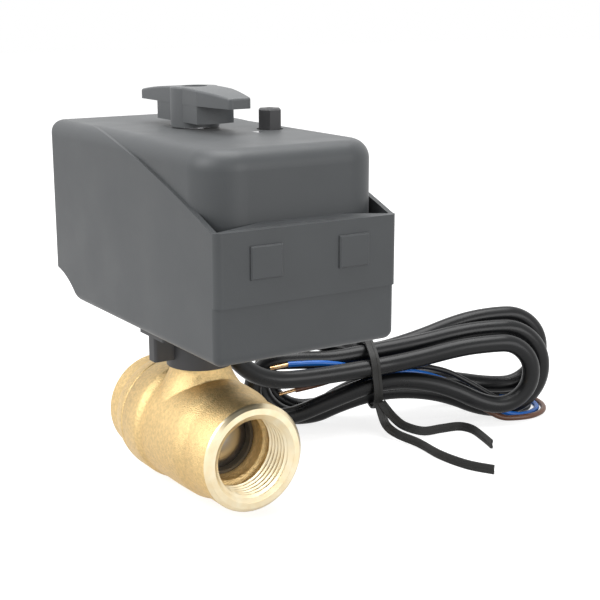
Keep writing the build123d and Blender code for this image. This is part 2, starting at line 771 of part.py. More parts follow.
with BuildPart() as output_shaft:
    shaft_bottom = spigot_top + stem_square_length - 7
    disc(shaft_bottom, knob_base + knob_rib_bottom - shaft_bottom, shaft_radius)
    disc(floor_top + 0.3, lower_plate - floor_top - 0.6, shaft_radius + shaft_collar)
    with BuildSketch(level(knob_base + knob_rib_bottom)):
        Rectangle(knob_square, knob_square)
    extrude(amount=knob_square_length - knob_rib_bottom)
    with BuildSketch(level(shaft_bottom)):
        Rectangle(stem_square + 2 * slot_gap, stem_square + 2 * slot_gap)
    extrude(amount=square_top - shaft_bottom + 0.5, mode=Mode.SUBTRACT)
    disc(knob_base, knob_square_length, screw_radius + fit, mode=Mode.SUBTRACT)
keep(output_shaft, "output_shaft")

# Release gear, slid down by the button to free the train
opposite = 180.0
with BuildPart() as release_gear:
    add_teeth(release_centre, release_pinion_bottom, release_pinion_height, main_module,
              release_pinion_teeth, release_angle + opposite + opposite / release_pinion_teeth)
    add_teeth(release_centre, release_wheel_bottom, release_wheel_thick, mid_module,
              release_wheel_teeth, transfer_angle)
    journal_top = upper_plate - 0.6
    disc(release_wheel_top, journal_top - release_wheel_top, journal_radius, *release_centre)
    disc(release_pinion_bottom, journal_top - 1.4 - release_pinion_bottom, pin_radius + fit,
         *release_centre, Mode.SUBTRACT)
keep(release_gear, "release_gear")

with BuildPart() as release_pin:
    pin_top = journal_top - 1.4 - press_stroke - 0.5
    disc(lower_plate, pin_top - lower_plate, pin_radius, *release_centre)
keep(release_pin, "release_pin")

# Transfer gear on its fixed axle
with BuildPart() as transfer_gear:
    add_teeth(transfer_centre, transfer_bottom, transfer_pinion_height, mid_module,
              transfer_pinion_teeth, transfer_angle - opposite + opposite / transfer_pinion_teeth)
    add_teeth(transfer_centre, transfer_wheel_bottom, transfer_wheel_thick, fast_module,
              transfer_wheel_teeth, motor_angle)
    transfer_top = transfer_wheel_bottom + transfer_wheel_thick
    disc(transfer_bottom, transfer_top - transfer_bottom, axle_radius + fit, *transfer_centre,
         Mode.SUBTRACT)
keep(transfer_gear, "transfer_gear")

with BuildPart() as transfer_axle:
    disc(lower_plate, upper_plate_top - lower_plate, axle_radius, *transfer_centre)
    disc(lower_plate_top, transfer_bottom - lower_plate_top - 0.2, 2 * axle_radius, *transfer_centre)
keep(transfer_axle, "transfer_axle")

# Synchronous motor with its own reduction, and its pinion
pinion_shaft_radius = 1.2 * axle_radius
with BuildPart() as motor_pinion:
    add_teeth(motor_pinion_centre, motor_pinion_bottom, motor_pinion_height, fast_module, motor_teeth,
              motor_angle - opposite + opposite / motor_teeth)
    disc(motor_pinion_bottom, upper_plate_top + 4 - motor_pinion_bottom, pinion_shaft_radius,
         *motor_pinion_centre)
keep(motor_pinion, "motor_pinion")

with BuildPart() as drive_motor:
    disc(upper_plate_top, motor_height, motor_radius, *motor_centre)
    chamfer(drive_motor.faces().sort_by(Axis.Z)[-1].edges(), 1.0)
    with BuildSketch(level(upper_plate_top, *motor_centre)):
        SlotCenterToCenter(2 * motor_ear_radius, 2.6 * chassis_head_radius, rotation=motor_ear_angle)
    extrude(amount=motor_ear_thick)
    for x, y in motor_ear_places:
        disc(upper_plate_top, motor_ear_thick, chassis_screw_radius + seat_gap, x, y, Mode.SUBTRACT)
    disc(upper_plate_top, 4.3, pinion_shaft_radius + fit, *motor_pinion_centre, Mode.SUBTRACT)
keep(drive_motor, "drive_motor")

# Limit cams, switches and levers: the lower set is pressed when the valve is closed
cam_pitch = switch_height + switch_gap
lever_face = cam_radius + 0.3
switch_middle_y = stem_y + switch_from_stem + switch_depth / 2
pivot = (-switch_length / 2 + 1.0, stem_y + lever_face + lever_thick / 2)
lever_set = (("closed", 0, 90.0, 0.0), ("open", 1, 0.0, -lever_swing))
for place, row, lobe_degrees, lever_degrees in lever_set:
    row_bottom = upper_plate_top + row * cam_pitch
    row_middle = row_bottom + switch_height / 2
    with BuildPart() as limit_cam:
        disc(row_middle - cam_thick / 2, cam_thick, cam_low_radius)
        with BuildSketch(level(row_middle - cam_thick / 2)):
            with BuildLine():
                half_lobe = cam_lobe_angle / 2
                lobe_edge = PolarLine((0, 0), cam_radius, lobe_degrees - half_lobe)
                CenterArc((0, 0), cam_radius, lobe_degrees - half_lobe, cam_lobe_angle)
                PolarLine((0, 0), cam_radius, lobe_degrees + half_lobe)
            make_face()
        extrude(amount=cam_thick)
        disc(row_middle - cam_thick / 2, cam_thick, shaft_radius + fit, mode=Mode.SUBTRACT)
    keep(limit_cam, f"{place}_limit_cam")

    with BuildPart() as limit_switch:
        with BuildSketch(level(row_bottom, 0, switch_middle_y)):
            Rectangle(switch_length, switch_depth)
        extrude(amount=switch_height)
        lug_depth = switch_middle_y - switch_depth / 2 - pivot[1] + 0.9
        for lug_middle in (row_middle - lever_width / 2 - 0.5, row_middle + lever_width / 2 + 0.5):
            with BuildSketch(level(lug_middle - 0.35, pivot[0], pivot[1] - 0.9 + lug_depth / 2)):
                Rectangle(1.8, lug_depth)
            extrude(amount=0.7)
        disc(row_middle - lever_width / 2 - 0.2, lever_width + 0.4, 0.3, *pivot)
    keep(limit_switch, f"{place}_limit_switch")

    with BuildPart() as switch_lever:
        lever_plane = Plane(origin=(*pivot, row_middle - lever_width / 2), z_dir=(0, 0, 1),
                            x_dir=(math.cos(math.radians(lever_degrees)),
                                   math.sin(math.radians(lever_degrees)), 0))
        with BuildSketch(lever_plane):
            with Locations((lever_length / 2, 0)):
                Rectangle(lever_length, lever_thick)
            Circle(0.7)
            Circle(0.35, mode=Mode.SUBTRACT)
        extrude(amount=lever_width)
    keep(switch_lever, f"{place}_switch_lever")

# Circuit board with terminals and motor capacitor, on posts in the rear of the tray
board_middle = (board_front + board_rear) / 2
board_top = board_height + board_thick
with BuildPart() as circuit_board:
    with BuildSketch(level(board_height, 0, board_middle)):
        Rectangle(board_width, board_depth)
    extrude(amount=board_thick)
keep(circuit_board, "circuit_board")

with BuildPart() as terminal_block:
    terminal_length = terminal_poles * terminal_pitch
    terminal_x = board_width / 2 - terminal_length / 2 - 3
    with BuildSketch(level(board_top, terminal_x, board_middle)):
        Rectangle(terminal_length, terminal_depth)
    extrude(amount=terminal_height)
    with BuildSketch(level(board_top + terminal_height, terminal_x, board_middle)):
        with GridLocations(terminal_pitch, 1, terminal_poles, 1):
            Circle(0.35 * terminal_pitch)
    extrude(amount=-0.6 * terminal_height, mode=Mode.SUBTRACT)
keep(terminal_block, "terminal_block")

with BuildPart() as motor_capacitor:
    capacitor_x = capacitor_length / 2 - board_width / 2 + 4
    with Locations(Location((capacitor_x, board_middle, board_top + capacitor_radius), (0, 90, 0))):
        Cylinder(capacitor_radius, capacitor_length)
    fillet(motor_capacitor.edges(), 0.8)
keep(motor_capacitor, "motor_capacitor")

# Knob: bar with a flat back end and a pointed front one, on a hub and a foot that follow the same bar
knob_x = (math.cos(math.radians(knob_turn)), math.sin(math.radians(knob_turn)), 0)
knob_plan = Plane(origin=(0, stem_y, knob_base), x_dir=knob_x, z_dir=(0, 0, 1))
knob_side = Plane(origin=(0, stem_y, knob_base), x_dir=knob_x, z_dir=(knob_x[1], -knob_x[0], 0))
with BuildPart() as knob_plate:
    with BuildSketch(knob_side):
        with BuildLine():
            back_end = (-knob_back, knob_end_height)
            front_end = (knob_front, knob_end_height)
            ThreePointArc(back_end, (0, knob_crown_height), front_end)
            Polyline(front_end, (knob_front, knob_plate_bottom), (-knob_back, knob_plate_bottom),
                     back_end)
        make_face()
    extrude(amount=knob_hub_radius + 1, both=True)
    with BuildSketch(knob_plan):
        Circle(knob_hub_radius)
        Polygon((-knob_back, -knob_bar_half), (knob_taper_from, -knob_bar_half),
                (knob_front, -knob_tip_half), (knob_front, knob_tip_half),
                (knob_taper_from, knob_bar_half), (-knob_back, knob_bar_half), align=None)
        fillet(vertices().sort_by(Axis.X)[-2:], knob_corner)
    extrude(amount=2 * knob_crown_height, both=True, mode=Mode.INTERSECT)
    fillet(knob_plate.faces().sort_by(Axis.Z)[-1].edges(), knob_edge)

with BuildPart() as knob_foot:
    with BuildSketch(knob_plan.offset(knob_rib_bottom)):
        Circle(knob_foot_radius)
        Rectangle(2 * knob_foot_radius, 2 * knob_foot_half, mode=Mode.INTERSECT)
    extrude(amount=knob_plate_bottom + knob_sink - knob_rib_bottom)
    disc(knob_base, knob_plate_bottom + knob_sink, knob_hub_radius)

with BuildPart() as knob:
    add(knob_foot.part)
    add(knob_plate.part)
    cap_floor = knob_crown_height - 2 * cap_thick
    head_floor = knob_square_length + 1.2
    with BuildSketch(level(knob_base)):
        Circle(shaft_radius + seat_gap)
    extrude(amount=knob_rib_bottom, mode=Mode.SUBTRACT)
    with BuildSketch(level(knob_base)):
        Rectangle(knob_square + 2 * slot_gap, knob_square + 2 * slot_gap)
    extrude(amount=knob_square_length + 0.2, mode=Mode.SUBTRACT)
    disc(knob_base, knob_crown_height + 1, screw_radius + 0.2, mode=Mode.SUBTRACT)
    disc(knob_base + head_floor, knob_crown_height, screw_head_radius + 0.3, mode=Mode.SUBTRACT)
    disc(knob_base + cap_floor + cap_thick / 2, knob_crown_height, cap_radius + seat_gap,
         mode=Mode.SUBTRACT)
keep(knob, "knob")

screws("knob_screw", [(0, stem_y)], knob_base + head_floor, screw_head_height, screw_head_radius,
       screw_radius, head_floor - 0.3, False)

with BuildPart() as knob_cap:
    disc(knob_base + cap_floor + cap_thick / 2, cap_thick, cap_radius)
    fillet(knob_cap.edges().sort_by(Axis.Z)[-1], 0.4)
keep(knob_cap, "knob_cap")

# Release button: hexagonal head in the cover guide, stem down to the release gear
button_foot = upper_plate - 0.4 - button_collar_thick - 1.0
with BuildPart() as release_button:
    head_bottom = cover_top - button_hidden
    button_top = cover_top + button_height
    with BuildSketch(level(head_bottom, *release_centre)):
        RegularPolygon(button_radius, 6)
    extrude(amount=button_hidden + button_height)
    chamfer(release_button.faces().sort_by(Axis.Z)[-1].edges(), 0.5)
    disc(button_foot, head_bottom - button_foot, button_stem_radius, *release_centre)
    disc(button_foot, upper_plate - 0.3 - button_foot, button_collar_radius, *release_centre)
    disc(button_foot, journal_top + seat_gap - button_foot, journal_radius + seat_gap,
         *release_centre, Mode.SUBTRACT)
    disc(button_top - 0.8, 0.8, 0.3 * button_radius, *release_centre, Mode.SUBTRACT)
keep(release_button, "release_button")


def hank_at(along, back, height):
    """Point of the hank in the part's frame: along it to the right, behind its front plane, up."""
    angle = math.radians(hank_heading)
    return (hank_origin[0] + along * math.cos(angle) - back * math.sin(angle),
            hank_origin[1] + along * math.sin(angle) + back * math.cos(angle), height)


def hank_way(along, back, height):
    """Unit direction in the hank's own frame, turned into the part's frame."""
    start, end = Vector(hank_at(0, 0, 0)), Vector(hank_at(along, back, height))
    return (end - start).normalized()


def biarc_joint(start, start_way, end, end_way):
    """Point where two arcs meet that leave and arrive along the given ways."""
    chord = end - start
    total = start_way + end_way
    spread = 2 * (1 - start_way.dot(end_way))
    if spread < 1e-6:
        reach = chord.dot(chord) / (4 * chord.dot(end_way))
    else:
        reach = (math.sqrt(chord.dot(total) ** 2 + spread * chord.dot(chord)) - chord.dot(total)) / spread
    return (start + end + (start_way - end_way) * reach) * 0.5


def wound_tube(name, stations, radius, lead_in):
    """One unbroken tube through stations, each span a pair of arcs, with straight ends."""
    stations = [(Vector(*point), way) for point, way in stations]
    first, first_way = stations[0]
    last, last_way = stations[-1]
    with BuildPart() as tube:
        with BuildLine() as path:
            if lead_in:
                Line(first - first_way * lead_in, first)
            for (start, start_way), (end, end_way) in zip(stations, stations[1:]):
                joint = biarc_joint(start, start_way, end, end_way)
                half_chord = (joint - start).normalized()
                joint_way = half_chord * (2 * half_chord.dot(start_way)) - start_way
                for corner, way, target in ((start, start_way, joint), (joint, joint_way, end)):
                    if way.get_angle(target - corner) < 0.02:
                        Line(corner, target)
                    else:
                        TangentArc(corner, target, tangent=way)
            if lead_in:
                Line(last, last + last_way * lead_in)
        wire = path.wire()
        with BuildSketch(Plane(origin=wire @ 0, z_dir=wire % 0)):
            Circle(radius)
        sweep(path=wire)
    print(name, "length", round(wire.length, 1), "least gap", round(least_gap(wire, radius), 2),
          "volume share", round(tube.part.volume / (math.pi * radius ** 2 * wire.length), 4))
    keep(tube, name)
    return wire


def least_gap(wire, radius):
    """Least clear distance of a tube to itself, on points along its line."""
    step = radius / 2
    count = int(wire.length / step)
    points = [wire.position_at(index / count) for index in range(count + 1)]
    skip = int(8 * radius / step)
    least = min((points[first] - points[second]).length
                for first in range(0, count, 2) for second in range(first + skip, count + 1))
    return least - 2 * radius


# Return spring of the button, wound by half turns
spring_rise = (head_bottom - upper_plate_top - spring_wire) / (2 * spring_turns)
spring_stations = []
for half_turn in range(2 * spring_turns + 1):
    side = 1 if half_turn % 2 == 0 else -1
    point = (release_centre[0] + side * spring_radius, release_centre[1],
             upper_plate_top + spring_wire / 2 + spring_rise * half_turn)
    way = Vector(0, side * math.pi * spring_radius, spring_rise).normalized()
    spring_stations.append((point, way))
wound_tube("button_spring", spring_stations, spring_wire / 2, 0)

# Moulded strain relief where the lead leaves the underside
gland_tip = housing_bottom - gland_length
with BuildPart() as strain_relief:
    relief_foot = gland_radius - 0.4
    relief_tip = cable_radius + 0.9
    disc(floor_top, 1.5, cable_radius + 2.2, gland_x, gland_y)
    disc(housing_bottom, floor_thick, cable_radius + 1.5 - fit, gland_x, gland_y)
    with BuildSketch(level(gland_tip, gland_x, gland_y)):
        Circle(relief_tip)
    with BuildSketch(level(housing_bottom, gland_x, gland_y)):
        Circle(relief_foot)
    loft()
    rib_pitch = gland_length / 4
    for count in (1, 2, 3):
        rib_height = gland_tip + count * rib_pitch
        rib_radius = relief_tip + (relief_foot - relief_tip) * count / 4
        with BuildSketch(level(rib_height - 0.4, gland_x, gland_y)):
            Circle(rib_radius + 0.5)
            Circle(rib_radius - 0.6, mode=Mode.SUBTRACT)
        extrude(amount=0.8, mode=Mode.SUBTRACT)
keep(strain_relief, "strain_relief")


def routed_tube(name, points, radius):
    """Tube along straight runs, with an arc at each turn as large as its runs allow."""
    corners = [Vector(*point) for point in points]
    runs = [end - start for start, end in zip(corners, corners[1:])]
    radii = [0.45 * min(before.length, after.length) / math.tan(math.radians(before.get_angle(after) / 2))
             for before, after in zip(runs, runs[1:])]
    with BuildPart() as tube:
        with BuildLine() as path:
            FilletPolyline(*corners, radius=radii)
        wire = path.wire()
        with BuildSketch(Plane(origin=wire @ 0, z_dir=wire % 0)):
            Circle(radius)
        sweep(path=wire)
    print(name, "length", round(wire.length, 1), "radii", [round(value, 1) for value in radii],
          "volume share", round(tube.part.volume / (math.pi * radius ** 2 * wire.length), 4))
    keep(tube, name)
    return runs[-1].normalized()


# Free stretch from the strain relief round to the hank
lead_end = hank_at(-62.0, -1.5, 8.0)
lead_route = [(gland_x, gland_y, gland_tip), (20.5, 55.5, 22.0), (26.5, 55.1, 11.6),
              (36.8, 53.9, 5.7), (50.4, 52.0, 5.8), lead_end]
lead_way = routed_tube("cable_lead", lead_route, cable_radius)

# Hank: figure-eight loops drawn in at the waist, then a tail to the cut sheath end
top, bottom = hank_middle + lobe_half_height, hank_middle - lobe_half_height
waist_top, waist_bottom = hank_middle + waist_half_height, hank_middle - waist_half_height
end_straight = 2 * cable_radius
onward, homeward = hank_way(1, 0, 0), hank_way(-1, 0, 0)
downward, upward = Vector(0, 0, -1), Vector(0, 0, 1)


def waist_way(before, after, run, sense):
    """Level way through the waist, leaning back as the loops on both sides ask."""
    return hank_way(sense * run, after - before, 0)


lead_start = Vector(*lead_end) + lead_way * end_straight
hank_stations = [(tuple(lead_start), lead_way)]
left_back = left_first - left_step
for turn in range(hank_turns):
    right_back = right_first + right_step * turn
    waist_back = waist_first + waist_step * turn
    next_left = left_first + left_step * turn
    run_right = right_crest - waist_place
    run_left = waist_place - left_crest
    span = run_right + run_left
    hank_stations += [
        (hank_at(waist_place, waist_back, waist_top), waist_way(left_back, right_back, span, 1)),
        (hank_at(right_crest, right_back, top), onward),
        (hank_at(right_end, right_back, hank_middle), downward),
        (hank_at(right_crest, right_back, bottom), homeward),
        (hank_at(waist_place, waist_back + waist_lag, waist_bottom),
         waist_way(right_back, next_left, span, -1)),
        (hank_at(left_crest, next_left, bottom), homeward),
        (hank_at(left_end, next_left, hank_middle), upward),
        (hank_at(left_crest, next_left, top), onward),
    ]
    left_back = next_left
tail_way = hank_way(1.0, 0.0, -tail_dip)
sheath_point = Vector(*hank_at(*sheath_end))
hank_stations += [
    (hank_at(waist_place, waist_first + waist_step * hank_turns, waist_top),
     waist_way(left_back, sheath_end[1], span, 1)),
    (hank_at(-20.0, sheath_end[1] - 0.3, -8.5), hank_way(1.0, 0.02, -0.42)),
    (tuple(sheath_point - tail_way * end_straight), tail_way),
]
wound_tube("cable_hank", hank_stations, cable_radius, end_straight)

# Three cores: out of the sheath, round under the loops, up through the waist and on left
core_names = ("brown", "blue", "black")
core_routes = {
    "brown": [(16.5, 29.4, -17.2), (21.2, 26.7, -18.6), (23.1, 21.2, -18.8), (22.7, 14.6, -18.8),
              (19.6, 9.0, -18.8), (14.3, 5.0, -18.8), (7.8, 3.8, -18.8), (1.5, 4.0, -18.6),
              (-4.5, 5.7, -15.0), (-13.0, 6.0, -9.8), (-24.5, 7.4, -3.4), (-36.0, 9.4, 0.7),
              (-48.0, 11.5, 2.2), (-60.0, 10.6, 0.4), (-69.0, 9.5, -2.3), (-76.5, 9.3, -3.4)],
    "blue": [(16.0, 27.4, -18.8), (19.6, 24.2, -18.8), (20.5, 19.2, -18.8), (19.6, 13.8, -18.8),
             (15.6, 9.3, -18.8), (10.4, 6.7, -18.8), (3.8, 5.7, -17.3), (-5.0, 5.9, -11.8),
             (-17.5, 6.0, -4.1), (-31.0, 4.4, 1.6), (-48.0, 4.6, 2.3), (-61.0, 4.7, 4.2),
             (-71.0, 5.0, 4.8), (-79.0, 4.9, 4.9)],
    "black": [(15.4, 25.7, -17.1), (17.6, 22.3, -18.0), (17.7, 18.2, -18.8), (15.6, 14.4, -18.8),
              (12.0, 11.0, -18.0), (8.0, 8.0, -16.4), (3.6, 6.3, -13.4), (-3.0, 5.9, -9.3),
              (-12.0, 5.9, -3.6), (-20.0, 6.9, 0.8), (-33.0, 8.0, 3.2), (-48.0, 8.1, 2.4),
              (-61.0, 8.0, 1.6), (-71.0, 8.6, 0.9), (-79.0, 8.9, 1.2)],
}
core_degrees = {"brown": 30.0, "blue": 270.0, "black": 150.0}
tip_places = []
for core in core_names:
    turn = math.radians(core_degrees[core])
    core_drop = core_circle * math.sin(turn)
    start = hank_at(sheath_end[0] + tail_dip * core_drop,
                    sheath_end[1] + core_circle * math.cos(turn), sheath_end[2] + core_drop)
    leaving = tuple(Vector(*start) + tail_way * core_reach)
    route = [start, leaving] + [hank_at(*point) for point in core_routes[core]]
    tip_way = routed_tube(f"wire_{core}", route, core_radius)
    tip_places.append((route[-1], tip_way))

with BuildPart() as wire_tips:
    for point, way in tip_places:
        with BuildSketch(Plane(origin=point, z_dir=way)):
            Circle(copper_radius)
        extrude(amount=copper_length)
keep(wire_tips, "wire_tips")

# Flat tie round the waist of the hank, twisted in front, its two tails on edge below
tie_reach = cable_radius + tie_gap
tie_front, tie_back = waist_first - tie_reach, waist_first + hank_turns * waist_step + tie_reach
tie_low, tie_high = waist_bottom - tie_reach, waist_top + tie_reach
tie_middle = hank_at(waist_place - tie_width / 2, (tie_front + tie_back) / 2, (tie_low + tie_high) / 2)
tail_points = {
    "long": [(-45.6, -4.0), (-41.0, -6.0), (-36.0, -19.9), (-32.0, -32.0), (-25.0, -42.5), (-18.0, -48.0)],
    "short": [(-45.2, -4.6), (-32.0, -7.9), (-24.0, -4.2), (-17.0, -3.0), (-13.0, -6.5), (-11.7, -15.0),
              (-11.0, -25.0)],
}
with BuildPart() as cable_tie:
    with BuildSketch(Plane(origin=tie_middle, x_dir=tuple(hank_way(0, 1, 0)), z_dir=tuple(onward))):
        ring_length, ring_height = tie_back - tie_front, tie_high - tie_low
        RectangleRounded(ring_length + 2 * tie_thick, ring_height + 2 * tie_thick, cable_radius + tie_thick)
        RectangleRounded(ring_length, ring_height, cable_radius, mode=Mode.SUBTRACT)
    extrude(amount=tie_width)
    tail_floor = -shell_radius + fit
    twist_top = tie_low + tie_width
    twist_x, twist_y, twist_z = hank_at(waist_place + 0.6 * tie_width, tie_front - tie_thick, tail_floor)
    disc(tail_floor, twist_top - tail_floor, 0.45 * tie_width, twist_x, twist_y)
    for tail in tail_points.values():
        with BuildSketch(Plane.XY.offset(tail_floor)):
            with BuildLine():
                Polyline(*[hank_at(along, back, 0)[:2] for along, back in tail])
            trace(line_width=tie_thick)
        extrude(amount=tie_width)
keep(cable_tie, "cable_tie")
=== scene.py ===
import math

import bmesh
import bpy
from mathutils import Matrix, Vector


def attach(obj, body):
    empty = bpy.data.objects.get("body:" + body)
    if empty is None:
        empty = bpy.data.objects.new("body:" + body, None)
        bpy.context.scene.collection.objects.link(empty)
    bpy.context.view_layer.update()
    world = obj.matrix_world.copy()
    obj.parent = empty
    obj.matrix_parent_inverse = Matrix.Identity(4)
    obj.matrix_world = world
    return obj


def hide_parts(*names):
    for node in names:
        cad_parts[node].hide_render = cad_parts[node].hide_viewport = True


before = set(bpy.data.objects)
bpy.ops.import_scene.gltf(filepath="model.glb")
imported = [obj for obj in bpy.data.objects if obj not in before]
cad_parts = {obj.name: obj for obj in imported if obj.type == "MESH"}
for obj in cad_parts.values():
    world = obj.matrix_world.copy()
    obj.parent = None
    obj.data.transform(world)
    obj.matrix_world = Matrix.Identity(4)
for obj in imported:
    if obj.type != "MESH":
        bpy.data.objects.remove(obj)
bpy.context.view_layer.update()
mm = 0.001


def newMaterial(name):
    material = bpy.data.materials.new(name)
    material.use_nodes = True
    nodes = material.node_tree.nodes
    return material, nodes, material.node_tree.links, nodes["Principled BSDF"]


def objectPoints(nodes, links, scale=(1, 1, 1)):
    place = nodes.new("ShaderNodeTexCoord")
    mapping = nodes.new("ShaderNodeMapping")
    mapping.inputs["Scale"].default_value = scale
    links.new(place.outputs["Object"], mapping.inputs["Vector"])
    return mapping.outputs["Vector"]


def noise(nodes, links, points, scale, detail):
    made = nodes.new("ShaderNodeTexNoise")
    made.inputs["Scale"].default_value = scale
    made.inputs["Detail"].default_value = detail
    links.new(points, made.inputs["Vector"])
    return made.outputs["Fac"]


def ramp(nodes, links, source, stops):
    made = nodes.new("ShaderNodeValToRGB")
    for element, (place, colour) in zip(made.color_ramp.elements, stops):
        element.position = place
        element.color = (*colour, 1)
    links.new(source, made.inputs["Fac"])
    return made.outputs["Color"]


# most of a noise's values lie in this part of its range
noiseLow, noiseHigh = 0.30, 0.70


def spread(nodes, links, source, low, high):
    made = nodes.new("ShaderNodeMapRange")
    made.inputs["From Min"].default_value = noiseLow
    made.inputs["From Max"].default_value = noiseHigh
    made.inputs["To Min"].default_value = low
    made.inputs["To Max"].default_value = high
    links.new(source, made.inputs["Value"])
    return made.outputs["Result"]


def bump(nodes, links, height, strength, distance, shader):
    made = nodes.new("ShaderNodeBump")
    made.inputs["Strength"].default_value = strength
    made.inputs["Distance"].default_value = distance
    links.new(height, made.inputs["Height"])
    links.new(made.outputs["Normal"], shader.inputs["Normal"])


def shade(colour, share):
    return tuple(min(1.0, c * share) for c in colour)


finishes = {
    # name: colour, metal, roughness low and high, scale and share of the mottle,
    # then scale, strength and depth of the grain
    "shellGrey": ((0.050, 0.054, 0.057), 0.0, (0.40, 0.52), 60, 0.06, 2600, 0.35, 0.00006),
    "knobGrey": ((0.082, 0.087, 0.091), 0.0, (0.40, 0.52), 60, 0.06, 2600, 0.30, 0.00006),
    "blastedBrass": ((0.74, 0.54, 0.26), 1.0, (0.41, 0.47), 900, 0.14, 2600, 0.90, 0.00026),
    "chromeBall": ((0.64, 0.62, 0.60), 1.0, (0.30, 0.36), 80, 0.04, 900, 0.04, 0.00002),
    # seats and thrust washer: dark brown is painted shade standing for the shadow in the ball's throat, not
    # the white seat's own colour
    "seatPaintedShade": ((0.085, 0.072, 0.052), 0.0, (0.45, 0.55), 120, 0.04, 1400, 0.08, 0.00003),
    "brightSteel": ((0.62, 0.62, 0.63), 1.0, (0.24, 0.36), 150, 0.06, 1800, 0.10, 0.00002),
    "plateSteel": ((0.56, 0.57, 0.58), 1.0, (0.30, 0.44), 70, 0.08, 900, 0.12, 0.00003),
    "blackNylon": ((0.034, 0.034, 0.036), 0.0, (0.40, 0.52), 80, 0.10, 2200, 0.25, 0.00005),
    "gearWhite": ((0.74, 0.72, 0.66), 0.0, (0.34, 0.44), 90, 0.03, 1500, 0.06, 0.00002),
    "sealRubber": ((0.020, 0.020, 0.020), 0.0, (0.50, 0.62), 120, 0.10, 1800, 0.12, 0.00003),
    "boardGreen": ((0.020, 0.120, 0.055), 0.0, (0.25, 0.40), 120, 0.12, 900, 0.10, 0.00003),
    "terminalGreen": ((0.045, 0.200, 0.090), 0.0, (0.36, 0.46), 100, 0.05, 1600, 0.08, 0.00003),
    "capacitorSleeve": ((0.020, 0.035, 0.130), 0.0, (0.22, 0.34), 100, 0.05, 1500, 0.05, 0.00002),
    "cableSheath": ((0.0065, 0.0068, 0.0075), 0.0, (0.24, 0.34), 70, 0.10, 1500, 0.10, 0.00003),
    "tieBlack": ((0.022, 0.022, 0.021), 0.0, (0.46, 0.60), 180, 0.12, 2200, 0.20, 0.00004),
    "coreBrown": ((0.120, 0.045, 0.020), 0.0, (0.28, 0.38), 120, 0.06, 1600, 0.05, 0.00002),
    "coreBlue": ((0.000, 0.115, 0.480), 0.0, (0.26, 0.36), 120, 0.05, 1600, 0.05, 0.00002),
    "coreBlack": ((0.012, 0.012, 0.013), 0.0, (0.28, 0.38), 120, 0.06, 1600, 0.05, 0.00002),
}
plainGloss, sheenRoughness = 0.5, 0.35
dustySheen = {"shellGrey": 0.10, "knobGrey": 0.08}
softGloss = {"shellGrey": 0.45, "cableSheath": 0.30, "tieBlack": 0.35, "coreBlack": 0.35}


def plainFinish(name, colour, metal, rough, mottleScale, mottleShare, grainScale, grainStrength, grainDepth):
    material, nodes, links, shader = newMaterial(name)
    points = objectPoints(nodes, links)
    mottle = noise(nodes, links, points, mottleScale, 4.0)
    dark, light = shade(colour, 1 - mottleShare), shade(colour, 1 + mottleShare)
    tone = ramp(nodes, links, mottle, [(noiseLow, dark), (noiseHigh, light)])
    links.new(tone, shader.inputs["Base Color"])
    links.new(spread(nodes, links, mottle, *rough), shader.inputs["Roughness"])
    shader.inputs["Metallic"].default_value = metal
    shader.inputs["Specular IOR Level"].default_value = softGloss.get(name, plainGloss)
    shader.inputs["Sheen Weight"].default_value = dustySheen.get(name, 0.0)
    shader.inputs["Sheen Roughness"].default_value = sheenRoughness
    grain = noise(nodes, links, points, grainScale, 2.0)
    bump(nodes, links, grain, grainStrength, grainDepth, shader)
    return material


materials = {name: plainFinish(name, *values) for name, values in finishes.items()}


# a cutting tool's fine rings: the noise is squeezed along the pipe
turnedSet = {"squeeze": (140, 4200, 140), "patch": 260, "dark": (0.92, 0.76, 0.48),
             "light": (0.97, 0.86, 0.62), "rough": (0.30, 0.38), "strength": 0.10, "depth": 0.03 * mm}


def turnedBrass():
    material, nodes, links, shader = newMaterial("turnedBrass")
    lines = noise(nodes, links, objectPoints(nodes, links, turnedSet["squeeze"]), 1.0, 2.0)
    patches = noise(nodes, links, objectPoints(nodes, links), turnedSet["patch"], 2.0)
    tone = ramp(nodes, links, patches, [(noiseLow, turnedSet["dark"]), (noiseHigh, turnedSet["light"])])
    links.new(tone, shader.inputs["Base Color"])
    links.new(spread(nodes, links, lines, *turnedSet["rough"]), shader.inputs["Roughness"])
    shader.inputs["Metallic"].default_value = 1.0
    bump(nodes, links, lines, turnedSet["strength"], turnedSet["depth"], shader)
    return material


windowSet = {"haze": 300, "rough": (0.10, 0.22), "colour": (0.20, 0.21, 0.22, 1), "coat": 0.6,
             "strength": 0.05, "depth": 0.02 * mm}


def windowPlastic():
    material, nodes, links, shader = newMaterial("windowPlastic")
    haze = noise(nodes, links, objectPoints(nodes, links), windowSet["haze"], 2.0)
    links.new(spread(nodes, links, haze, *windowSet["rough"]), shader.inputs["Roughness"])
    shader.inputs["Base Color"].default_value = windowSet["colour"]
    shader.inputs["Coat Weight"].default_value = windowSet["coat"]
    bump(nodes, links, haze, windowSet["strength"], windowSet["depth"], shader)
    return material


copperSet = {"lay": 900, "darkFrom": 0.35, "lightFrom": 0.65, "dark": (0.55, 0.30, 0.12),
             "light": (0.95, 0.66, 0.38), "rough": (0.22, 0.36), "strength": 0.30, "depth": 0.05 * mm}


def copperStrands():
    material, nodes, links, shader = newMaterial("copperStrands")
    lay = noise(nodes, links, objectPoints(nodes, links), copperSet["lay"], 3.0)
    stops = [(copperSet["darkFrom"], copperSet["dark"]), (copperSet["lightFrom"], copperSet["light"])]
    links.new(ramp(nodes, links, lay, stops), shader.inputs["Base Color"])
    links.new(spread(nodes, links, lay, *copperSet["rough"]), shader.inputs["Roughness"])
    shader.inputs["Metallic"].default_value = 1.0
    bump(nodes, links, lay, copperSet["strength"], copperSet["depth"], shader)
    return material


materials["turnedBrass"] = turnedBrass()
materials["windowPlastic"] = windowPlastic()
materials["copperStrands"] = copperStrands()

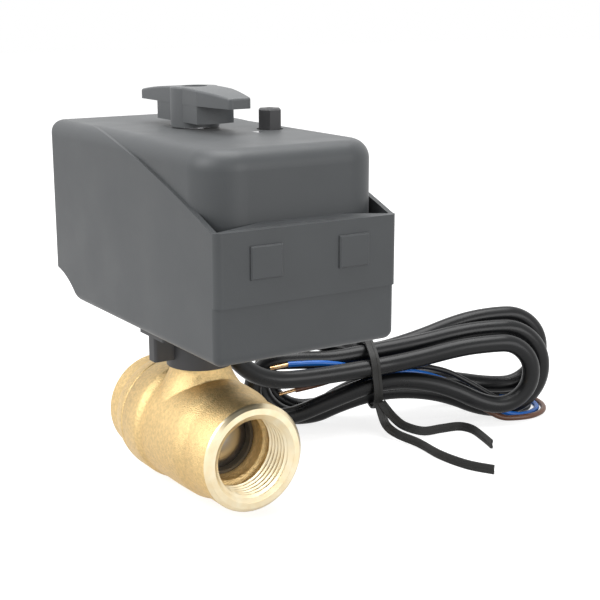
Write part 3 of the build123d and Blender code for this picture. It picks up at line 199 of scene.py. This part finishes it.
nodeFinishes = {
    "shellGrey": ["housing_base", "housing_cover"],
    "knobGrey": ["knob", "knob_cap"],
    "blastedBrass": ["valve_body", "end_piece"],
    "chromeBall": ["ball"],
    # the seats and thrust washer take the dark brown painted-shade finish
    "seatPaintedShade": ["ball_seats", "thrust_washer"],
    "brightSteel": ["valve_stem", "output_shaft", "foot_screws", "housing_screws", "knob_screw",
                    "motor_screws", "neck_screws", "plate_screws", "release_pin", "transfer_axle",
                    "mounting_nut", "button_spring"],
    "plateSteel": ["lower_chassis_plate", "upper_chassis_plate", "plate_pillars", "drive_motor",
                   "closed_switch_lever", "open_switch_lever", "motor_pinion"],
    "blackNylon": ["neck_adapter", "closed_limit_switch", "open_limit_switch", "strain_relief",
                   "release_button"],
    "gearWhite": ["output_gear", "release_gear", "transfer_gear", "closed_limit_cam", "open_limit_cam"],
    "windowPlastic": ["status_window"],
    "sealRubber": ["stem_o_rings", "housing_seal"],
    "boardGreen": ["circuit_board"],
    "terminalGreen": ["terminal_block"],
    "capacitorSleeve": ["motor_capacitor"],
    "cableSheath": ["cable_lead", "cable_hank"],
    "tieBlack": ["cable_tie"],
    "coreBrown": ["wire_brown"],
    "coreBlue": ["wire_blue"],
    "coreBlack": ["wire_black"],
    "copperStrands": ["wire_tips"],
}
for finish, names in nodeFinishes.items():
    for name in names:
        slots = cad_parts[name].data.materials
        slots.clear()
        slots.append(materials[finish])
print("materials made")


# the camera solved from the photograph's edges; roll in degrees
cameraSet = {"place": (-0.18622687, -0.31655811, 0.13829222), "sensor": 36, "lens": 76.59, "roll": 0.115,
             "forward": (0.52384345, 0.8189976, -0.23416012), "near": 0.01, "far": 20}
forward = Vector(cameraSet["forward"]).normalized()
roll = Matrix.Rotation(math.radians(-cameraSet["roll"]), 3, "Z").to_quaternion()
cameraData = bpy.data.cameras.new("photoCamera")
cameraData.sensor_width, cameraData.lens = cameraSet["sensor"], cameraSet["lens"]
cameraData.clip_start, cameraData.clip_end = cameraSet["near"], cameraSet["far"]
camera = bpy.data.objects.new("photoCamera", cameraData)
bpy.context.scene.collection.objects.link(camera)
camera.location = cameraSet["place"]
camera.rotation_mode = "QUATERNION"
camera.rotation_quaternion = forward.to_track_quat("-Z", "Y") @ roll
bpy.context.scene.camera = camera


# near port: turned mouth, parallel thread and relief groove, cut from the wall of the cast body
port = {"core": 12.06 * mm, "root": 13.2 * mm, "mouth": 14.1 * mm, "chamfer": 1.9 * mm, "pitch": 1.814 * mm,
        "depth": 14.0 * mm, "relief": 12.2 * mm, "groove": 13.4 * mm, "socket": 13.45 * mm,
        "chamferPast": 0.4 * mm, "crest": 0.12, "flank": 0.76, "around": 180, "along": 168,
        "tuck": 0.2 * mm, "lip": 0.03 * mm, "face": 1.6 * mm}
near = 0.05 * mm


def mergedCopy(node, name):
    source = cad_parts[node]
    copy = bpy.data.objects.new(name, source.data.copy())
    bpy.context.scene.collection.objects.link(copy)
    shape = bmesh.new()
    shape.from_mesh(copy.data)
    bmesh.ops.remove_doubles(shape, verts=shape.verts, dist=0.01 * mm)
    return copy, shape


def fromAxis(vertex):
    return math.hypot(vertex.co.x, vertex.co.z)


def portRadius(depth, turn):
    if depth > port["relief"]:
        return port["groove"]
    narrowing = (port["mouth"] - port["core"] + port["chamferPast"]) * depth / port["chamfer"]
    place = (depth / port["pitch"] - turn) % 1.0
    tooth = min(1.0, max(0.0, (abs(place - 0.5) * 2 - port["crest"]) / port["flank"]))
    thread = port["core"] + (port["root"] - port["core"]) * tooth
    return max(port["mouth"] - narrowing, thread)


def cutPort():
    body, shape = mergedCopy("valve_body", "castBody")
    inside = [vertex for vertex in shape.verts if fromAxis(vertex) < port["core"] + near]
    wall = [face for face in shape.faces
            if all(abs(fromAxis(vertex) - port["core"]) < near for vertex in face.verts)
            and all(-near < vertex.co.y < port["depth"] + near for vertex in face.verts)]
    rim = [vertex for vertex in inside if abs(vertex.co.y) < near]
    step = [vertex for vertex in inside
            if abs(vertex.co.y - port["depth"]) < near and fromAxis(vertex) > port["core"] - near]
    bmesh.ops.delete(shape, geom=wall, context="FACES_ONLY")
    for edge, radius in ((rim, port["mouth"]), (step, port["socket"])):
        for vertex in edge:
            share = radius / fromAxis(vertex)
            vertex.co.x *= share
            vertex.co.z *= share
    shape.to_mesh(body.data)
    shape.free()
    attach(body, "root")
    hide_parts("valve_body")
    return body


# the first row is tucked behind the rim of the body's face
def cutThread():
    shape = bmesh.new()
    rows = []
    for step in range(port["along"] + 1):
        lip, tuck = (port["lip"], port["tuck"]) if step == 0 else (0.0, 0.0)
        depth = port["depth"] * step / port["along"] + lip
        row = []
        for number in range(port["around"]):
            turn = number / port["around"]
            radius = portRadius(depth, turn) + tuck
            angle = 2 * math.pi * turn
            row.append(shape.verts.new((radius * math.cos(angle), depth, radius * math.sin(angle))))
        rows.append(row)
    for first, second in zip(rows, rows[1:]):
        for number in range(port["around"]):
            following = (number + 1) % port["around"]
            shape.faces.new((first[number], first[following], second[following], second[number]))
    data = bpy.data.meshes.new("portThread")
    shape.to_mesh(data)
    shape.free()
    thread = bpy.data.objects.new("portThread", data)
    bpy.context.scene.collection.objects.link(thread)
    data.materials.append(materials["turnedBrass"])
    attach(thread, "root")


castBody = cutPort()
castBody.data.materials.clear()
for finish in ("blastedBrass", "turnedBrass"):
    castBody.data.materials.append(materials[finish])
for face in castBody.data.polygons:
    facesForward = face.center.y < port["face"] and face.normal.y < -0.5
    face.material_index = 1 if facesForward else 0
cutThread()
print("port cut")


# the hank lies askew: a point of it is given along it, back from its front and up, in millimetres
hankSet = {"origin": (122.5, 26.7), "along": (0.9205, -0.3907), "back": (0.3907, 0.9205)}
sheathDiameter = 6.5 * mm
coreDiameter = 2.1 * mm
tipDiameter = 1.3 * mm


def hankAt(along, back, height):
    x = hankSet["origin"][0] + along * hankSet["along"][0] + back * hankSet["back"][0]
    y = hankSet["origin"][1] + along * hankSet["along"][1] + back * hankSet["back"][1]
    return Vector((x, y, height)) * mm


stepsBetweenPoints = 12


def cordPiece(name, points, diameter, finish, resolution=6):
    data = bpy.data.curves.new(name, "CURVE")
    data.dimensions = "3D"
    data.bevel_depth = diameter / 2
    data.bevel_resolution = resolution
    data.resolution_u = stepsBetweenPoints
    data.use_fill_caps = True
    line = data.splines.new("NURBS")
    line.points.add(len(points) - 1)
    for place, point in zip(line.points, points):
        place.co = (*point, 1)
    line.order_u = 3
    line.use_endpoint_u = True
    piece = bpy.data.objects.new(name, data)
    bpy.context.scene.collection.objects.link(piece)
    data.materials.append(materials[finish])
    return piece


# one entry for each turn of the hank, front to back, centre lines in millimetres
hankLoops = [
    {"waist": 1.0, "waistTop": 4.9, "waistLow": -2.0,
     "rightBack": 0.5, "rightEnd": 11.5, "top": 11.9, "low": -11.9,
     "leftBack": 5.0, "leftEnd": -93.0, "leftTop": 8.0, "leftLow": -13.5},
    {"waist": 8.2, "waistTop": 8.6, "waistLow": -8.2,
     "rightBack": 10.5, "rightEnd": 19.0, "top": 14.9, "low": -16.7,
     "leftBack": 13.6, "leftEnd": -89.0, "leftTop": 13.0, "leftLow": -16.4},
    {"waist": 15.4, "waistTop": 5.9, "waistLow": -6.0,
     "rightBack": 20.5, "rightEnd": 21.5, "top": 17.5, "low": -10.4,
     "leftBack": 22.2, "leftEnd": -86.0, "leftTop": 15.0, "leftLow": -16.0},
]
# the waist, where the tie draws the turns together, and how far the lower run lies behind the upper one
waist = {"along": -48.0, "lowerBack": 3.0, "lowerRise": 0.9, "lastBack": 22.6, "nextTop": 5.6}
# shares of the way from the waist to a round end: along, back and height
runShares = {"firstClimb": (0.34, 0.30, 0.36), "secondClimb": (0.66, 0.72, 0.86),
             "fall": (0.58, 0.70, 0.20), "beforeWaist": (0.28, 0.30, 0.0),
             "afterWaist": (0.50, 0.50, 0.55), "onward": (0.48, 0.45, 0.50)}
# a round end's control points stand at an octagon's corners: half its side in shares of its inner radius
corner = 0.414


def between(start, end, run):
    return tuple(a + (b - a) * share for a, b, share in zip(start, end, runShares[run]))


# the highest and lowest point over the end's centre, then its points from top to bottom
def roundEnd(edge, back, top, low, way):
    radius, middle = (top - low) / 2, (top + low) / 2
    centre, bend = edge - way * radius, corner * radius
    points = [(centre - way * bend, back, top), (centre + way * bend, back, top),
              (edge, back, middle + bend), (edge, back, middle - bend),
              (centre + way * bend, back, low), (centre - way * bend, back, low)]
    return (centre, back, top), (centre, back, low), points


def hankTurn(loop, nextWaist):
    front = (waist["along"], loop["waist"], loop["waistTop"])
    behind = (waist["along"], loop["waist"] + waist["lowerBack"], loop["waistLow"])
    lifted = (waist["along"], behind[1], behind[2] + waist["lowerRise"])
    following = (waist["along"], nextWaist, waist["nextTop"])
    rightTop, rightLow, right = roundEnd(loop["rightEnd"], loop["rightBack"], loop["top"], loop["low"], 1)
    leftTop, leftLow, left = roundEnd(loop["leftEnd"], loop["leftBack"], loop["leftTop"], loop["leftLow"], -1)
    climb = [front, between(front, rightTop, "firstClimb"), between(front, rightTop, "secondClimb")]
    fall = [between(behind, rightLow, "fall"), between(lifted, rightLow, "beforeWaist"), behind]
    return (climb + right + fall + [between(behind, leftLow, "afterWaist")] + left[::-1]
            + [between(following, leftTop, "onward")])


def hankPoints():
    nextWaists = [loop["waist"] for loop in hankLoops[1:]] + [waist["lastBack"]]
    return [point for loop, nextWaist in zip(hankLoops, nextWaists) for point in hankTurn(loop, nextWaist)]


leadPoints = [Vector(point) * mm for point in
              [(20.5, 55.5, 34.0), (20.5, 55.5, 22.0), (26.5, 55.1, 11.6), (36.8, 53.9, 4.9),
               (50.4, 52.0, 3.6)]]
leadEnd = hankAt(-62.0, -1.5, 4.1)
tailPoints = [(waist["along"], waist["lastBack"], 6.0), (-33.0, 25.6, -0.5), (-18.0, 28.2, -8.6),
              (-5.0, 28.6, -13.8), (8.0, 28.6, -16.4)]
lead = cordPiece("leadSheath", leadPoints + [leadEnd], sheathDiameter, "cableSheath")
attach(lead, "root")
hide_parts("cable_lead")

hankRoute = [leadEnd] + [hankAt(*point) for point in hankPoints() + tailPoints]
hank = cordPiece("hankSheath", hankRoute, sheathDiameter, "cableSheath")
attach(hank, "root")
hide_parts("cable_hank")

# the cores leave the sheath's end side by side; each has its listed route and its bared tip
sheathEnd = {"along": 8.0, "firstStep": 4.0, "firstDrop": 0.5}
cores = {
    "coreBrown": {
        "node": "wire_brown", "slot": "core_brown", "length": 0.1358, "back": 29.8, "height": -15.7,
        "route": [(16.5, 29.4, -17.2), (21.2, 26.7, -18.6), (23.1, 21.2, -18.8), (22.7, 14.6, -18.8),
                  (19.6, 9.0, -18.8), (14.3, 5.0, -18.8), (7.8, 3.8, -18.8), (1.5, 4.0, -18.6),
                  (-4.5, 5.7, -15.0), (-13.0, 6.0, -9.8), (-24.5, 7.4, -3.4), (-36.0, 9.4, 0.7),
                  (-48.0, 11.5, 1.6), (-60.0, 10.5, -1.4), (-69.0, 9.5, -3.6), (-76.5, 9.3, -4.8)],
        "tip": (-82.5, 9.2, -6.2)},
    "coreBlue": {
        "node": "wire_blue", "slot": "core_blue", "length": 0.1294, "back": 28.6, "height": -17.8,
        "route": [(16.0, 27.4, -18.8), (19.6, 24.2, -18.8), (20.5, 19.2, -18.8), (19.6, 13.8, -18.8),
                  (15.6, 9.3, -18.8), (10.4, 6.7, -18.8), (3.8, 5.7, -17.3), (-5.0, 5.9, -11.8),
                  (-17.5, 6.0, -4.1), (-31.0, 4.4, 1.6), (-48.0, 4.6, 2.3), (-55.0, 3.9, 4.2),
                  (-62.0, 2.3, 6.5), (-71.0, 0.8, 7.9), (-80.5, 0.6, 7.7)],
        "tip": (-87.0, 0.6, 6.5)},
    "coreBlack": {
        "node": "wire_black", "slot": "core_black", "length": 0.1228, "back": 27.4, "height": -15.7,
        "route": [(15.4, 25.7, -17.1), (17.6, 22.3, -18.0), (17.7, 18.2, -18.8), (15.6, 14.4, -18.8),
                  (12.0, 11.0, -18.0), (8.0, 8.0, -16.4), (3.6, 6.3, -13.4), (-3.0, 5.9, -9.3),
                  (-12.0, 5.9, -3.6), (-20.0, 6.9, 0.8), (-33.0, 8.0, 3.2), (-48.0, 8.1, 2.4),
                  (-61.0, 8.0, 1.6), (-71.0, 8.6, 0.9), (-79.0, 8.9, 1.2)],
        "tip": (-85.5, 9.1, 1.4)},
}
for name, core in cores.items():
    start = hankAt(sheathEnd["along"], core["back"], core["height"])
    second = hankAt(sheathEnd["along"] + sheathEnd["firstStep"], core["back"],
                    core["height"] - sheathEnd["firstDrop"])
    points = [start, second] + [hankAt(*point) for point in core["route"]]
    piece = cordPiece(name + "Wire", points, coreDiameter, name, 4)
    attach(piece, "root")
    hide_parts(core["node"])
    tipWay = hankAt(*core["tip"]) - points[-1]
    tipPoints = [points[-1] + share * tipWay for share in (-0.1, 0.5, 1.0)]
    tip = cordPiece(name + "Tip", tipPoints, tipDiameter, "copperStrands", 3)
    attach(tip, "root")
    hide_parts("wire_tips")

# flat ribbed tie: a band round the hank's waist and two tails that twist until they stand on edge;
# each station is along, back, height and the way that the ribbon's width points
tieWidth, tieThick = 3.2 * mm, 0.8 * mm
flat, upright = (1, 0, 0), (0, 0, 1)
bandPoints = [(-46.9, 1.5, -9.8), (-47.6, -2.5, -4.0), (-48.4, -3.0, 3.0), (-49.0, -2.5, 8.2),
              (-49.4, 2.0, 11.8), (-49.5, 9.0, 13.4), (-49.4, 18.0, 11.6), (-49.2, 25.2, 9.8),
              (-48.6, 26.9, 4.0), (-47.6, 25.2, -4.0), (-46.9, 21.0, -10.2), (-46.6, 12.0, -12.6),
              (-46.7, 5.5, -12.0)]
tieBand = [(*point, flat) for point in bandPoints]
tieLong = [(-46.9, -0.6, -8.6, flat), (-46.4, -3.2, -12.0, (1, 0, -0.3)), (-45.2, -6.4, -15.4, (0.7, 0, 0.7)),
           (-42.0, -10.5, -17.4, upright), (-36.5, -19.5, -17.9, upright), (-32.0, -31.5, -18.2, upright),
           (-25.5, -41.8, -18.3, upright), (-18.0, -48.0, -18.3, upright)]
tieShort = [(-46.0, -0.4, -8.2, flat), (-44.4, -2.6, -10.4, (0.9, 0, 0.5)),
            (-42.0, -5.2, -13.2, (0.5, 0, 0.9)), (-38.6, -7.2, -15.6, (0.1, 0, 1)),
            (-32.0, -7.9, -17.6, upright), (-24.0, -4.4, -18.3, upright), (-17.0, -3.2, -18.3, upright),
            (-13.2, -7.0, -18.3, upright), (-11.8, -15.0, -18.3, upright), (-11.0, -24.0, -18.3, upright)]
# half section in shares of half the width and half the thickness: a shallow channel between two rims
ribbonSide = [(-1, 1), (-0.36, 1), (-0.30, 0.6), (0.30, 0.6), (0.36, 1), (1, 1)]
ribbonSection = [(w, -t) for w, t in ribbonSide] + ribbonSide[::-1]


# a smooth curve through every point, ten steps from each to the next
def smoothed(points, closed, parts=10):
    count = len(points)
    if closed:
        padded = [points[-1]] + points + points[:2]
    else:
        padded = [points[0]] + points + [points[-1]]
    made = []
    for number in range(count if closed else count - 1):
        a, b, c, d = padded[number:number + 4]
        for step in range(parts):
            t = step / parts
            made.append(0.5 * ((2 * b) + (c - a) * t
                               + (2 * a - 5 * b + 4 * c - d) * t ** 2
                               + (3 * b - a - 3 * c + d) * t ** 3))
    return made if closed else made + [points[-1]]


def hankWay(way):
    return (hankAt(*way) - hankAt(0, 0, 0)).normalized()


def addRibbon(shape, stations, closed):
    places = smoothed([hankAt(*station[:3]) for station in stations], closed)
    ways = smoothed([hankWay(station[3]) for station in stations], closed)
    rings = []
    for number, (place, way) in enumerate(zip(places, ways)):
        before = places[number - 1] if closed or number else place
        after = places[(number + 1) % len(places)] if closed or number + 1 < len(places) else place
        onward = (after - before).normalized()
        across = (way - onward * way.dot(onward)).normalized()
        out = onward.cross(across)
        rings.append([shape.verts.new(place + across * (w * tieWidth / 2) + out * (t * tieThick / 2))
                      for w, t in ribbonSection])
    pairs = list(zip(rings, rings[1:])) + ([(rings[-1], rings[0])] if closed else [])
    for first, second in pairs:
        for k in range(len(first)):
            following = (k + 1) % len(first)
            shape.faces.new((first[k], second[k], second[following], first[following]))
    if not closed:
        shape.faces.new(rings[0])
        shape.faces.new(list(reversed(rings[-1])))


ribbon = bmesh.new()
for stations, closed in ((tieBand, True), (tieLong, False), (tieShort, False)):
    addRibbon(ribbon, stations, closed)
bmesh.ops.recalc_face_normals(ribbon, faces=ribbon.faces)
tieData = bpy.data.meshes.new("ribbedTie")
ribbon.to_mesh(tieData)
ribbon.free()
tie = bpy.data.objects.new("ribbedTie", tieData)
bpy.context.scene.collection.objects.link(tie)
tieData.materials.append(materials["tieBlack"])
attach(tie, "root")
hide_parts("cable_tie")
print("cords laid")


def combined(nodes, links, operation, first, second):
    made = nodes.new("ShaderNodeMath")
    made.operation = operation
    links.new(first, made.inputs[0])
    if isinstance(second, float):
        made.inputs[1].default_value = second
    else:
        links.new(second, made.inputs[1])
    return made.outputs[0]


# one for rays that see the background, a share of it for rays that mirror it
def cameraLike(nodes, links, gloss=1.0):
    rays = nodes.new("ShaderNodeLightPath").outputs
    shiny = combined(nodes, links, "MULTIPLY", rays["Is Glossy Ray"], gloss)
    direct = combined(nodes, links, "MAXIMUM", rays["Is Camera Ray"], shiny)
    return combined(nodes, links, "MAXIMUM", direct, rays["Is Transmission Ray"])


white = (1, 1, 1, 1)
worldSet = {"seen": 1.0, "felt": 0.55}
world = bpy.data.worlds.new("studio")
bpy.context.scene.world = world
world.use_nodes = True
worldNodes, worldLinks = world.node_tree.nodes, world.node_tree.links
worldNodes.clear()
bothRays = worldNodes.new("ShaderNodeMixShader")
worldLinks.new(cameraLike(worldNodes, worldLinks), bothRays.inputs["Fac"])
for number, use in enumerate(("felt", "seen"), start=1):
    background = worldNodes.new("ShaderNodeBackground")
    background.inputs["Color"].default_value = white
    background.inputs["Strength"].default_value = worldSet[use]
    worldLinks.new(background.outputs[0], bothRays.inputs[number])
worldOut = worldNodes.new("ShaderNodeOutputWorld")
worldLinks.new(bothRays.outputs[0], worldOut.inputs["Surface"])

# the floor takes the shadow; its glow brings it to the background's white
floorSet = {"place": (0.05, 0.05, -19.95 * mm), "size": 6.0, "tone": (0.42, 0.42, 0.42, 1), "glow": 0.79,
            "gloss": 0.55}
bpy.ops.object.select_all(action="DESELECT")
bpy.ops.mesh.primitive_plane_add(size=floorSet["size"], location=floorSet["place"])
floor = bpy.context.object
floor.name = "paleFloor"
floorMaterial, nodes, links, shader = newMaterial("paleFloor")
nodes.remove(shader)
paint, glow = nodes.new("ShaderNodeBsdfDiffuse"), nodes.new("ShaderNodeEmission")
paint.inputs["Color"].default_value = floorSet["tone"]
glow.inputs["Color"].default_value = white
lift = combined(nodes, links, "MULTIPLY", cameraLike(nodes, links, floorSet["gloss"]), floorSet["glow"])
links.new(lift, glow.inputs["Strength"])
both = nodes.new("ShaderNodeAddShader")
links.new(paint.outputs[0], both.inputs[0])
links.new(glow.outputs[0], both.inputs[1])
links.new(both.outputs[0], nodes["Material Output"].inputs["Surface"])
floor.data.materials.append(floorMaterial)

lamps = {
    # name: place, aimed at, width, height, watts
    "keySoftbox": ((-0.95, 0.10, 0.75), (0.0, 0.03, 0.04), 0.80, 0.80, 10.0),
    "topSoftbox": ((0.10, 0.15, 1.10), (0.0, 0.02, 0.05), 0.90, 0.90, 12.0),
    "frontFill": ((0.20, -1.10, 0.35), (0.03, 0.02, 0.02), 0.80, 0.60, 5.0),
}
for name, (place, aim, width, height, watts) in lamps.items():
    data = bpy.data.lights.new(name, "AREA")
    data.shape = "RECTANGLE"
    data.size, data.size_y = width, height
    data.energy = watts
    lamp = bpy.data.objects.new(name, data)
    bpy.context.scene.collection.objects.link(lamp)
    lamp.location = place
    lamp.rotation_euler = (Vector(aim) - Vector(place)).to_track_quat("-Z", "Y").to_euler()
print("stage set")

bpy.context.scene.view_settings.view_transform = "Standard"
